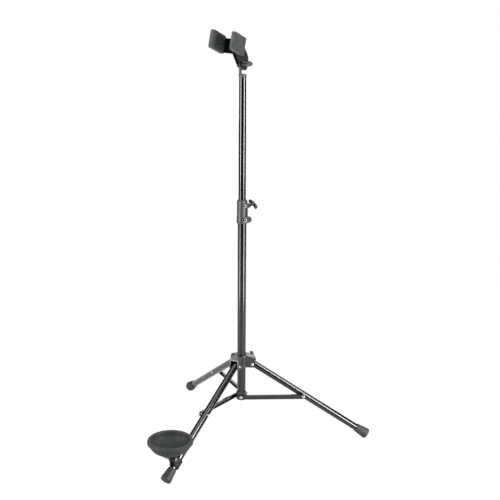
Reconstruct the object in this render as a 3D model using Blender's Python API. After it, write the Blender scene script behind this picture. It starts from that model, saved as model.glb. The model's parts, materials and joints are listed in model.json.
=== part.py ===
"""A folding bassoon stand: tripod, telescopic mast, boot cup on one leg and a tilting fork.

Metres, +Z up. The mast stands at MAST_X, MAST_Y, so that the origin lies on the floor
under the middle of the whole stand. Leg azimuths are counted from +X.
"""
import math

import bmesh
import bpy
from mathutils import Matrix, Vector

# Overall frame
MAST_X = -0.0582
MAST_Y = 0.0128
CLEAR = 0.0003
ROUND_STEPS = 28
SMALL_STEPS = 16
SHARP_DEGREES = 32

# Mast tubes
LOWER_R = 0.0100
LOWER_WALL = 0.0012
UPPER_R = 0.0083
UPPER_WALL = 0.0012
LOWER_TOP = 0.5490
UPPER_TOP = 0.8553
UPPER_OVERLAP = 0.1250
BUSH_PLAY = 0.00025
BUSH_LENGTH = 0.0120
BUSH_SHANK = 0.0150
BUSH_BORE_R = 0.0045

# Base fitting at the lower tube's end
FITTING_R = 0.0120
FITTING_BOTTOM = 0.0925
FITTING_TOP = 0.1125
FITTING_SHANK = 0.0180
FITTING_CHAMFER = 0.0015
FLAT_REACH = 0.0101
BASE_PIVOT_Z = 0.1012

# Height clamp on the lower tube's mouth
CLAMP_ABOVE = 0.0311
CLAMP_BELOW = 0.0238
CLAMP_R = 0.0118
LIP_R = 0.0128
LIP_HEIGHT = 0.0172
LIP_EDGE = 0.0028
LIP_DRAFT = 0.0006
CLAMP_CHAMFER = 0.0012
CLAMP_PLAY = 0.0003
SCREW_AZ = math.radians(54)
EAR_HALF = 0.0045
EAR_REACH = 0.0130
SLIT = 0.0009
UPPER_BOSS_DROP = 0.0120
UPPER_BOSS_REACH = 0.0140
UPPER_BOSS_R = 0.0058
UPPER_BOSS_FRONT = 0.0037
UPPER_BOSS_BACK = 0.0062
LOWER_BOSS_RISE = 0.0106
LOWER_BOSS_REACH = 0.0160
LOWER_BOSS_R = 0.0076
LOWER_BOSS_FRONT = 0.0044
LOWER_BOSS_BACK = 0.0062
BOSS_EDGE = 0.0012
SCREW_R = 0.0023
NUT_R = 0.0038
NUT_HEIGHT = 0.0026
NUT_EDGE = 0.0006
SPOT_DEPTH = 0.0002
SCREW_HEAD_R = 0.0046
SCREW_HEAD = 0.0026

# Tripod hub
HUB_BOTTOM = 0.1775
HUB_PEAK = 0.2088
HUB_FALL = 0.268
HUB_PLAY = 0.0004
HUB_MOUTH = 0.0009
HUB_FOLD = 0.0044
HUB_SHEET = 0.0029
BAY_FILLET = 0.0050
LEG_SIDE_PLAY = 0.0014
SLOT_INNER = 0.0136
EAR_BEYOND = 0.0075
EAR_CORNER = 0.0040
EAR_RISE = 0.0048
ROOF_BEYOND = 0.0038
HUB_AZ = math.radians(60)
HUB_SCREW_DROP = 0.0226
LOBE_REACH = 0.0282
LOBE_HALF = 0.0118

# Legs
LEG_AZ = {"right": 0.0, "back": math.radians(120), "cup": math.radians(240)}
LEG_R = 0.0080
LEG_WALL = 0.0012
PIVOT_R = 0.0260
PIVOT_Z = 0.1852
FOOT_REACH = 0.3015
LEG_TAIL = 0.0090
LEG_RIVET_R = 0.0025
RIVET_PLAY = 0.0003
RIVET_HEAD_R = 0.0038
RIVET_HEAD = 0.0015

# Rubber boots
BOOT_LENGTH = 0.0310
BOOT_TOP_R = 0.0097
BOOT_END_R = 0.0124
BOOT_FLOOR = 0.0040
BOOT_EDGE = 0.0012
BOOT_WEAR = 0.0012

# Struts
STRUT_REACH = 0.1484
STRUT_IN = 0.0104
STRUT_OUT = 0.0144
STRUT_HALF = 0.0055
STRUT_END = 0.0064
STRUT_SHEET = 0.0015
STRUT_RIVET_R = 0.0022
SPACER_R = 0.0036

# T handles
TEE_HALF = 0.0138
TEE_THICK = 0.0068
TEE_DEPTH = 0.0064
TEE_BOW = 0.0068
TEE_EDGE = 0.0014
TEE_STEM_R = 0.0033
TEE_COLLAR_R = 0.0052
TEE_COLLAR = 0.0030
TEE_STAND = 0.0153
HEIGHT_BAR_LEAN = math.radians(36)
HUB_BAR_LEAN = math.radians(1)
CUP_BAR_LEAN = math.radians(37)
PADDLE_LONG = 0.0088
PADDLE_WIDE = 0.0060
PADDLE_THICK = 0.0040
PADDLE_STAND = 0.0155
NUT_STAND = 0.0004

# Cup and its clamp on the cup leg
CUP_BEFORE_FOOT = 0.0195
CUP_RIM_Z = 0.1000
CUP_R = 0.0502
CUP_MOUTH_R = 0.0425
CUP_LIP = 0.0088
CUP_BASE_Z = 0.0690
CUP_BASE_R = 0.0150
CUP_WALL = 0.0045
SADDLE_TO_BOOT = 0.0043
SADDLE_HALF = 0.0110
SADDLE_R = 0.0111
SADDLE_PLAY = 0.0004
BOLT_RISE = 0.0172
CHEEK_IN = 0.0028
CHEEK_OUT = 0.0064
CHEEK_R = 0.0078
TONGUE_HALF = 0.0025
TONGUE_EYE_R = 0.0074
FLANGE_R = 0.0140
FLANGE_THICK = 0.0026
CUP_SCREW_R = 0.0020
CUP_SCREW_HEAD_R = 0.0042
CUP_SCREW_LENGTH = 0.0120
CUP_SCREW_HEAD = 0.0018

# Head: plug, neck bracket and fork
FORK_AZ = math.radians(-108.1)
PLUG_SHANK = 0.0200
PLUG_RIM = 0.0074
HEAD_OFFSET = -0.0060
TILT_RISE = 0.0228
BLADE_HALF = 0.0021
BLADE_FOOT_HALF = 0.0036
BLADE_EYE_R = 0.0080
NECK_PLAY = 0.0003
NECK_SHEET = 0.0018
NECK_ANGLE = math.radians(44.2)
NECK_NOSE_R = 0.0093
NECK_TAIL_R = 0.0195
NECK_TAIL_M = -0.0205
NECK_TAIL_RISE = 0.0025
NECK_ROOF = 0.0150
NECK_FLANGE = 0.0020
FORK_ANGLE = math.radians(16.0)
FORK_ROLL = math.radians(3.4)
FORK_SHIFT = -0.0020
ROOT_M = 0.0363
ROOT_RISE = 0.0400
PAD_LENGTH = 0.0678
PAD_HALF = 0.0190
GAP_HALF = 0.0195
PAD_THICK = 0.0092
YOKE_SHEET = 0.0030
YOKE_TOP = 0.0153
YOKE_LOW = 0.0165
PRONG_INSET = 0.0028
PRONG_LENGTH = 0.0610
PANEL_DEPTH = 0.0012
FREE_BORDER = 0.0072
LOW_BORDER = 0.0034
GRIP_BAND = 0.0215
GRIP_COUNT = 5
GRIP_DEPTH = 0.0011
PAD_SCREW_P = 0.0180
PAD_SCREW_Q = 0.0026
PAD_SCREW_R = 0.0021
YOKE_RIVET_R = 0.0012
YOKE_RIVET_Q = 0.0095

# Values worked out from the sizes above
LEG_SLOPE = math.atan2(PIVOT_Z - BOOT_END_R * 0.85, FOOT_REACH - PIVOT_R)
for _ in range(12):
    FOOT_Z = BOOT_END_R * math.cos(LEG_SLOPE) - BOOT_WEAR
    LEG_SLOPE = math.atan2(PIVOT_Z - FOOT_Z, FOOT_REACH - PIVOT_R)
LEG_LENGTH = math.hypot(PIVOT_Z - FOOT_Z, FOOT_REACH - PIVOT_R)
UPPER_FOOT = LOWER_TOP - UPPER_OVERLAP
CLAMP_TOP = LOWER_TOP + CLAMP_ABOVE
CLAMP_BOTTOM = LOWER_TOP - CLAMP_BELOW
LIP_TOP = CLAMP_BOTTOM + LIP_HEIGHT
UPPER_BOSS_Z = CLAMP_TOP - UPPER_BOSS_DROP
LOWER_BOSS_Z = CLAMP_BOTTOM + LOWER_BOSS_RISE
LEG_HOLE_AT = (STRUT_REACH - PIVOT_R) / math.cos(LEG_SLOPE)
STRUT_PIN_Z = PIVOT_Z - LEG_HOLE_AT * math.sin(LEG_SLOPE)
STRUT_LENGTH = math.hypot(STRUT_REACH, STRUT_PIN_Z - BASE_PIVOT_Z)
STRUT_SLOPE = math.atan2(STRUT_PIN_Z - BASE_PIVOT_Z, STRUT_REACH)
EAR_IN = LEG_R + LEG_SIDE_PLAY
EAR_OUT = EAR_IN + HUB_SHEET
EAR_END = PIVOT_R + EAR_BEYOND
ROOF_END = PIVOT_R + ROOF_BEYOND
HUB_SCREW_Z = HUB_PEAK - HUB_SCREW_DROP
ROOF_TIP_Z = HUB_PEAK - HUB_FALL * ROOF_END
CUP_REACH = FOOT_REACH - CUP_BEFORE_FOOT
PLUG_RIM_TOP = UPPER_TOP + PLUG_RIM
TILT_Z = PLUG_RIM_TOP + TILT_RISE
ROOT_Z = TILT_Z + ROOT_RISE
SADDLE_FROM_PIVOT = LEG_LENGTH - BOOT_LENGTH - SADDLE_TO_BOOT - SADDLE_HALF

COLOURS = {
    "black_coat": ((0.020, 0.021, 0.023), 0.22, 0.0),
    "satin_plastic": ((0.055, 0.057, 0.060), 0.42, 0.0),
    "cast_coat": ((0.045, 0.048, 0.050), 0.28, 0.0),
    "bright_steel": ((0.78, 0.78, 0.78), 0.22, 1.0),
    "rubber": ((0.060, 0.062, 0.062), 0.62, 0.0),
    "cup_rubber": ((0.085, 0.090, 0.092), 0.55, 0.0),
    "pad_rubber": ((0.110, 0.116, 0.118), 0.50, 0.0),
}


def clear_scene():
    for item in list(bpy.data.objects):
        bpy.data.objects.remove(item, do_unlink=True)


def material(name):
    """The Principled material of one finish, made once."""
    made = bpy.data.materials.get(name)
    if made:
        return made
    colour, roughness, metallic = COLOURS[name]
    made = bpy.data.materials.new(name)
    made.use_nodes = True
    shader = made.node_tree.nodes["Principled BSDF"]
    shader.inputs["Base Color"].default_value = (*colour, 1.0)
    shader.inputs["Roughness"].default_value = roughness
    shader.inputs["Metallic"].default_value = metallic
    return made


def frame_of(point, along, across):
    """A matrix whose Z runs along a direction and whose X leans towards another."""
    z = Vector(along).normalized()
    x = Vector(across)
    x = (x - z * x.dot(z)).normalized()
    y = z.cross(x)
    turned = Matrix((x, y, z)).transposed().to_4x4()
    return Matrix.Translation(Vector(point)) @ turned


def finish_object(name, work, finish, mast, origin=(0, 0, 0)):
    """Turns a bmesh in mast coordinates into an object whose origin is given."""
    bmesh.ops.remove_doubles(work, verts=work.verts, dist=5e-6)
    bmesh.ops.recalc_face_normals(work, faces=work.faces)
    bmesh.ops.translate(work, verts=work.verts, vec=-Vector(origin))
    mesh = bpy.data.meshes.new(name)
    work.to_mesh(mesh)
    work.free()
    mesh.shade_smooth()
    mesh.set_sharp_from_angle(angle=math.radians(SHARP_DEGREES))
    item = bpy.data.objects.new(name, mesh)
    bpy.context.scene.collection.objects.link(item)
    item.parent = mast
    item.location = origin
    if finish:
        mesh.materials.append(material(finish))
    return item


def combine(item, tool, operation):
    """Works one exact Boolean into an object and takes its tool away."""
    step = item.modifiers.new(tool.name, "BOOLEAN")
    step.operation = operation
    step.solver = "EXACT"
    step.object = tool
    bpy.context.view_layer.update()
    solved = item.evaluated_get(bpy.context.evaluated_depsgraph_get())
    mesh = bpy.data.meshes.new_from_object(solved)
    item.modifiers.clear()
    old = item.data
    item.data = mesh
    bpy.data.meshes.remove(old)
    mesh.name = item.name
    bpy.data.objects.remove(tool, do_unlink=True)
    mesh.shade_smooth()
    mesh.set_sharp_from_angle(angle=math.radians(SHARP_DEGREES))


def cut(item, tool):
    combine(item, tool, "DIFFERENCE")


def join(item, tool):
    combine(item, tool, "UNION")


def add_turned(work, profile, matrix, steps=ROUND_STEPS):
    """Spins a profile of (radius, height) points about the matrix's Z axis."""
    verts = [work.verts.new(matrix @ Vector((radius, 0, height))) for radius, height in profile]
    closed = profile[0][0] > 0 and profile[-1][0] > 0
    pairs = list(zip(verts, verts[1:]))
    if closed:
        pairs.append((verts[-1], verts[0]))
    edges = [work.edges.new(pair) for pair in pairs]
    centre = matrix.to_translation()
    axis = matrix.to_3x3() @ Vector((0, 0, 1))
    bmesh.ops.spin(work, geom=verts + edges, cent=centre, axis=axis, angle=2 * math.pi,
                   steps=steps, use_merge=True, use_duplicate=False)


def add_rod(work, radius, low, high, matrix, steps=SMALL_STEPS):
    add_turned(work, [(0, low), (radius, low), (radius, high), (0, high)], matrix, steps)


def add_prism(work, outline, low, high, matrix):
    """Extrudes a flat outline of (x, y) points between two heights of a matrix."""
    verts = [work.verts.new(matrix @ Vector((x, y, low))) for x, y in outline]
    face = work.faces.new(verts)
    grown = bmesh.ops.extrude_face_region(work, geom=[face])["geom"]
    rise = matrix.to_3x3() @ Vector((0, 0, high - low))
    moved = [part for part in grown if isinstance(part, bmesh.types.BMVert)]
    bmesh.ops.translate(work, verts=moved, vec=rise)


def add_box(work, low, high, matrix):
    outline = [(low[0], low[1]), (high[0], low[1]), (high[0], high[1]), (low[0], high[1])]
    add_prism(work, outline, low[2], high[2], matrix)


def arc(centre, radius, start, end, steps):
    """Points on an arc, with angles in radians."""
    turns = [start + (end - start) * i / steps for i in range(steps + 1)]
    return [(centre[0] + radius * math.cos(t), centre[1] + radius * math.sin(t)) for t in turns]


def hull(points):
    """The convex outline round a set of flat points."""
    ordered = sorted(set((round(x, 7), round(y, 7)) for x, y in points))

    def half(chain):
        kept = []
        for point in chain:
            while len(kept) > 1:
                (ax, ay), (bx, by) = kept[-2], kept[-1]
                if (bx - ax) * (point[1] - ay) - (by - ay) * (point[0] - ax) > 1e-12:
                    break
                kept.pop()
            kept.append(point)
        return kept

    return half(ordered)[:-1] + half(ordered[::-1])[:-1]


def dome(radius, base, height, steps=4):
    """Profile of a rounded rivet head that ends on the axis."""
    points = [(0, base), (radius, base)]
    for i in range(1, steps + 1):
        turn = math.pi / 2 * i / steps
        points.append((radius * math.cos(turn), base + height * math.sin(turn)))
    points[-1] = (0, base + height)
    return points


def leg_axes(name):
    """Outward and sideways directions of one leg; its strut lies on the sideways side."""
    turn = LEG_AZ[name]
    outward = Vector((math.cos(turn), math.sin(turn), 0))
    sideways = Vector((math.sin(turn), -math.cos(turn), 0))
    return outward, sideways


def leg_frame(name):
    """Matrix at the leg's pivot: Z down the leg, X up across it, Y to the strut's side."""
    outward, sideways = leg_axes(name)
    pivot = outward * PIVOT_R + Vector((0, 0, PIVOT_Z))
    down = outward * math.cos(LEG_SLOPE) - Vector((0, 0, math.sin(LEG_SLOPE)))
    return frame_of(pivot, down, Vector((0, 0, 1)))


def side_frame(name, reach, height):
    """Matrix on a leg's mid-plane: Z to the strut's side, X outward, Y down or up."""
    outward, sideways = leg_axes(name)
    return frame_of(outward * reach + Vector((0, 0, height)), sideways, outward)


def head_axes():
    """Forward and sideways directions of the fork head."""
    forward = Vector((math.cos(FORK_AZ), math.sin(FORK_AZ), 0))
    sideways = Vector((-math.sin(FORK_AZ), math.cos(FORK_AZ), 0))
    return forward, sideways


def screw_axes():
    """Direction of the clamp screws and of the ears beside the tube."""
    along = Vector((math.cos(SCREW_AZ), math.sin(SCREW_AZ), 0))
    ears = Vector((math.sin(SCREW_AZ), -math.cos(SCREW_AZ), 0))
    return along, ears


def make_tubes(mast):
    work = bmesh.new()
    inner = LOWER_R - LOWER_WALL
    profile = [(inner, FITTING_TOP + CLEAR), (LOWER_R, FITTING_TOP + CLEAR), (LOWER_R, LOWER_TOP),
               (inner, LOWER_TOP)]
    add_turned(work, profile, Matrix())
    finish_object("lower_tube", work, "black_coat", mast)

    work = bmesh.new()
    inner = UPPER_R - UPPER_WALL
    profile = [(inner, UPPER_FOOT), (UPPER_R, UPPER_FOOT), (UPPER_R, UPPER_TOP), (inner, UPPER_TOP)]
    add_turned(work, profile, Matrix())
    finish_object("upper_tube", work, "black_coat", mast)


def make_bush(mast):
    """Plastic bush that guides the upper tube's end inside the lower tube."""
    work = bmesh.new()
    rim = LOWER_R - LOWER_WALL - BUSH_PLAY
    shank = UPPER_R - UPPER_WALL - CLEAR
    low = UPPER_FOOT - CLEAR - BUSH_LENGTH
    profile = [(BUSH_BORE_R, low), (rim - FITTING_CHAMFER, low), (rim, low + FITTING_CHAMFER),
               (rim, UPPER_FOOT - CLEAR), (shank, UPPER_FOOT - CLEAR), (shank, UPPER_FOOT + BUSH_SHANK),
               (BUSH_BORE_R, UPPER_FOOT + BUSH_SHANK)]
    add_turned(work, profile, Matrix())
    finish_object("glide_bush", work, "satin_plastic", mast)


def make_fitting(mast):
    """End fitting with a flat for each strut."""
    shank = LOWER_R - LOWER_WALL - CLEAR
    work = bmesh.new()
    profile = [(0, FITTING_BOTTOM), (FITTING_R - FITTING_CHAMFER, FITTING_BOTTOM),
               (FITTING_R, FITTING_BOTTOM + FITTING_CHAMFER), (FITTING_R, FITTING_TOP), (shank, FITTING_TOP),
               (shank, FITTING_TOP + FITTING_SHANK), (0, FITTING_TOP + FITTING_SHANK)]
    add_turned(work, profile, Matrix())
    fitting = finish_object("base_fitting", work, "satin_plastic", mast)
    flats = bmesh.new()
    holes = bmesh.new()
    depth = FLAT_REACH / 2
    for name in LEG_AZ:
        frame = side_frame(name, 0, BASE_PIVOT_Z)
        low, high = FITTING_BOTTOM - 0.002, FITTING_TOP + 0.001
        rise = [low - BASE_PIVOT_Z, high - BASE_PIVOT_Z]
        if (frame.to_3x3() @ Vector((0, 1, 0))).z < 0:
            rise = [-rise[1], -rise[0]]
        add_box(flats, (-FITTING_R, rise[0], FLAT_REACH), (FITTING_R, rise[1], FITTING_R + 0.002), frame)
        add_rod(holes, STRUT_RIVET_R + RIVET_PLAY, depth, FITTING_R + 0.003, frame)
    cut(fitting, finish_object("fitting_flats", flats, None, mast))
    cut(fitting, finish_object("fitting_holes", holes, None, mast))


def boss_seat(label):
    """Matrix and sizes of one screw boss of the height clamp: Z runs along its screw."""
    along, ears = screw_axes()
    sizes = {"upper": (UPPER_BOSS_Z, UPPER_BOSS_REACH, UPPER_BOSS_R, UPPER_BOSS_FRONT, UPPER_BOSS_BACK),
             "lower": (LOWER_BOSS_Z, LOWER_BOSS_REACH, LOWER_BOSS_R, LOWER_BOSS_FRONT, LOWER_BOSS_BACK)}
    height, reach, radius, front, back = sizes[label]
    seat = frame_of(ears * reach + Vector((0, 0, height)), along, (0, 0, 1))
    return seat, radius, front, back


def make_clamp(mast):
    """Slit sleeve that pinches the lower tube for good and the upper tube by its T handle."""
    work = bmesh.new()
    foot = CLAMP_BOTTOM + LIP_EDGE
    profile = [(0, CLAMP_BOTTOM)] + arc((LIP_R - LIP_EDGE, foot), LIP_EDGE, -math.pi / 2, 0, 4)
    profile += [(LIP_R - LIP_DRAFT, LIP_TOP - CLAMP_CHAMFER), (CLAMP_R, LIP_TOP),
                (CLAMP_R, CLAMP_TOP - CLAMP_CHAMFER),
                (CLAMP_R - CLAMP_CHAMFER, CLAMP_TOP), (0, CLAMP_TOP)]
    add_turned(work, profile, Matrix(), 36)
    clamp = finish_object("height_clamp", work, "satin_plastic", mast)

    along, ears = screw_axes()
    block = bmesh.new()
    frame = frame_of((0, 0, 0), (0, 0, 1), ears)
    add_box(block, (CLAMP_R / 2, -EAR_HALF, LOWER_BOSS_Z), (EAR_REACH, EAR_HALF, UPPER_BOSS_Z), frame)
    join(clamp, finish_object("clamp_ears", block, None, mast))
    holes = bmesh.new()
    for label in ("upper", "lower"):
        seat, radius, front, back = boss_seat(label)
        boss = bmesh.new()
        rim = radius - BOSS_EDGE
        profile = [(0, -front), (radius - NUT_EDGE, -front), (radius, -front + NUT_EDGE),
                   (radius, back - BOSS_EDGE),
                   (rim + BOSS_EDGE * 0.7, back - BOSS_EDGE * 0.3), (rim, back), (0, back)]
        add_turned(boss, profile, seat, 24)
        join(clamp, finish_object(f"clamp_boss_{label}", boss, None, mast))
        near, far = SPOT_DEPTH - front, back - SPOT_DEPTH
        ends = CLAMP_R
        stepped = [(0, near - ends), (NUT_R + CLEAR, near - ends), (NUT_R + CLEAR, near),
                   (SCREW_R + CLEAR, near), (SCREW_R + CLEAR, far), (TEE_COLLAR_R + CLEAR, far),
                   (TEE_COLLAR_R + CLEAR, far + ends), (0, far + ends)]
        add_turned(holes, stepped, seat, 24)

    bore = bmesh.new()
    wide, narrow = LOWER_R + CLAMP_PLAY, UPPER_R + CLAMP_PLAY
    shoulder = LOWER_TOP + CLEAR
    profile = [(0, CLAMP_BOTTOM - 0.002), (wide, CLAMP_BOTTOM - 0.002), (wide, shoulder), (narrow, shoulder),
               (narrow, CLAMP_TOP + 0.002), (0, CLAMP_TOP + 0.002)]
    add_turned(bore, profile, Matrix(), 36)
    cut(clamp, finish_object("clamp_bore", bore, None, mast))
    slit = bmesh.new()
    reach = LOWER_BOSS_REACH + LOWER_BOSS_R + 0.002
    add_box(slit, (narrow / 2, -SLIT / 2, CLAMP_BOTTOM - 0.003), (reach, SLIT / 2, CLAMP_TOP + 0.003), frame)
    cut(clamp, finish_object("clamp_slit", slit, None, mast))
    cut(clamp, finish_object("clamp_holes", holes, None, mast))


def make_nut(name, mast, seat, face):
    """Round nut that seats on the low side of a face."""
    work = bmesh.new()
    inner = SCREW_R + CLEAR
    low = -face - CLEAR - NUT_HEIGHT
    profile = [(inner, low), (NUT_R - NUT_EDGE, low), (NUT_R, low + NUT_EDGE), (NUT_R, -face - CLEAR),
               (inner, -face - CLEAR)]
    add_turned(work, profile, seat, 12)
    finish_object(name, work, "bright_steel", mast, seat.to_translation())


def make_clamp_hardware(mast):
    """Two bright nuts in front, and the fixed screw of the lower boss."""
    for label in ("upper", "lower"):
        seat, radius, front, back = boss_seat(label)
        make_nut(f"clamp_nut_{label}", mast, seat, front)

    screw = bmesh.new()
    head = back + CLEAR
    tip = -front - NUT_HEIGHT - NUT_STAND
    top = head + SCREW_HEAD
    profile = [(0, tip), (SCREW_R, tip), (SCREW_R, head), (SCREW_HEAD_R, head),
               (SCREW_HEAD_R, head + SCREW_HEAD * 0.6),
               (SCREW_HEAD_R * 0.75, top), (0, top)]
    add_turned(screw, profile, seat, SMALL_STEPS)
    finish_object("clamp_screw", screw, "black_coat", mast)


def tee_outline():
    """Bowed bar of a T handle, in the plane of the screw (x along the bar, y along the screw)."""
    radius = (TEE_HALF ** 2 + TEE_BOW ** 2) / (2 * TEE_BOW)
    reach = math.asin((TEE_HALF - TEE_THICK / 2) / radius)
    centre = (0, TEE_BOW / 2 - radius)
    outer = arc(centre, radius + TEE_THICK / 2, math.pi / 2 - reach, math.pi / 2 + reach, 8)
    inner = arc(centre, radius - TEE_THICK / 2, math.pi / 2 + reach, math.pi / 2 - reach, 8)
    caps = []
    for sign in (1, -1):
        turn = math.pi / 2 - sign * reach
        middle = (centre[0] + radius * math.cos(turn), centre[1] + radius * math.sin(turn))
        start = turn + (0 if sign < 0 else -math.pi)
        caps.append(arc(middle, TEE_THICK / 2, start, start + math.pi, 5)[1:-1])
    return outer + caps[1] + inner + caps[0]


def make_screw_stem(name, mast, seat, tip, collar, top):
    """Screw, collar and stem of a handle: tip, collar and top are heights along the seat's Z axis."""
    work = bmesh.new()
    profile = [(0, tip), (SCREW_R * 0.7, tip), (SCREW_R, tip + SCREW_R * 0.4), (SCREW_R, collar),
               (TEE_COLLAR_R, collar), (TEE_COLLAR_R, collar + TEE_COLLAR),
               (TEE_STEM_R, collar + TEE_COLLAR * 2.2),
               (TEE_STEM_R, top), (0, top)]
    add_turned(work, profile, seat, SMALL_STEPS)
    return finish_object(name, work, "satin_plastic", mast, seat.to_translation())


def make_paddle(name, mast, seat, tip, collar, across):
    """Thumb screw with a flat oval paddle that lies along its screw."""
    middle = collar + PADDLE_STAND
    knob = make_screw_stem(name, mast, seat, tip, collar, middle)
    origin = seat.to_translation()
    axis = seat.to_3x3() @ Vector((0, 0, 1))
    plane = frame_of(origin + axis * middle, axis.cross(across), axis)
    work = bmesh.new()
    turns = [2 * math.pi * i / 28 for i in range(28)]
    outline = [(PADDLE_LONG * math.cos(t), PADDLE_WIDE * math.sin(t)) for t in turns]
    add_prism(work, outline, -PADDLE_THICK / 2, PADDLE_THICK / 2, plane)
    normal = plane.to_3x3() @ Vector((0, 0, 1))
    rim = [edge for edge in work.edges
           if abs((edge.verts[0].co - edge.verts[1].co).normalized().dot(normal)) < 0.5]
    bmesh.ops.bevel(work, geom=rim, offset=PADDLE_THICK * 0.3, segments=2, profile=0.5, affect="EDGES",
                    clamp_overlap=True)
    join(knob, finish_object(f"{name}_paddle", work, None, mast, origin))


def make_tee(name, mast, seat, tip, collar, bar):
    """T handle with its screw; its bowed bar stands TEE_STAND off the collar's seat."""
    wing = collar + TEE_STAND
    knob = make_screw_stem(name, mast, seat, tip, collar, wing + TEE_BOW / 2)
    origin = seat.to_translation()
    wings = bmesh.new()
    axis = seat.to_3x3() @ Vector((0, 0, 1))
    plane = frame_of(origin + axis * wing, bar.cross(axis), bar)
    flip = 1 if (plane.to_3x3() @ Vector((0, 1, 0))).dot(axis) > 0 else -1
    outline = [(x, y * flip) for x, y in tee_outline()]
    add_prism(wings, outline, -TEE_DEPTH / 2, TEE_DEPTH / 2, plane)
    rim = [edge for edge in wings.edges if abs((edge.verts[0].co - edge.verts[1].co).normalized().dot(
        bar.cross(axis).normalized())) < 0.5]
    bmesh.ops.bevel(wings, geom=rim, offset=TEE_EDGE, segments=2, profile=0.5, affect="EDGES",
                    clamp_overlap=True)
    join(knob, finish_object(f"{name}_wings", wings, None, mast, origin))


def arm_top(x, y):
    """Height of the hub's sloping top over a point: each arm falls away from the mast."""
    along = max(x * math.cos(turn) + y * math.sin(turn) for turn in LEG_AZ.values())
    return HUB_PEAK - HUB_FALL * along


def hub_outline(inset):
    """Three broad arms joined by hollow bays; an inset narrows the arms but not their length."""
    points = []
    half = EAR_OUT - inset
    for turn in LEG_AZ.values():
        outward = Vector((math.cos(turn), math.sin(turn)))
        left = Vector((-math.sin(turn), math.cos(turn)))
        for sign in (-1, 1):
            points.append(tuple(outward * (EAR_END + HUB_SHEET) + left * sign * half))
        bay = turn + math.pi / 3
        distance = (EAR_OUT + BAY_FILLET) / math.sin(math.pi / 3)
        middle = (distance * math.cos(bay), distance * math.sin(bay))
        start = bay + math.pi + math.pi / 6
        points += arc(middle, BAY_FILLET + inset, start, start - math.pi / 3, 6)
    return points


def add_loft(work, loops, peak):
    """Joins closed loops of equal length, with a flat base and a fan up to a peak."""
    rings = [[work.verts.new(point) for point in loop] for loop in loops]
    for low, high in zip(rings, rings[1:]):
        for i in range(len(low)):
            j = (i + 1) % len(low)
            work.faces.new((low[i], low[j], high[j], high[i]))
    work.faces.new(rings[0][::-1])
    tip = work.verts.new(peak)
    top = rings[-1]
    for i in range(len(top)):
        work.faces.new((top[i], top[(i + 1) % len(top)], tip))


def fold_levels(radius):
    """Inset and depth below the top of each ring of a rounded fold."""
    turns = [math.pi / 2 * i / 5 for i in range(6)]
    return [(radius * (1 - math.cos(t)), radius * (1 - math.sin(t))) for t in turns]


def make_lobe(seat):
    """Housing of the hub's lock screw: a closed arm with a flat end and folded upper edges."""
    work = bmesh.new()

    def loop(inset, height):
        half = LOBE_HALF - inset
        ring = []
        for along, side in ((LOWER_R, -half), (LOBE_REACH, -half), (LOBE_REACH, half), (LOWER_R, half)):
            spot = seat @ Vector((0, side, along))
            ring.append((spot.x, spot.y, height(along)))
        return ring

    loops = [loop(0, lambda along: HUB_BOTTOM + HUB_FOLD)]
    for inset, depth in fold_levels(HUB_FOLD):
        loops.append(loop(inset, lambda along, depth=depth: HUB_PEAK - HUB_FALL * along - depth))
    middle = (LOWER_R + LOBE_REACH) / 2
    crown = seat @ Vector((0, 0, middle))
    add_loft(work, loops, (crown.x, crown.y, HUB_PEAK - HUB_FALL * middle))
    return work


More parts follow.
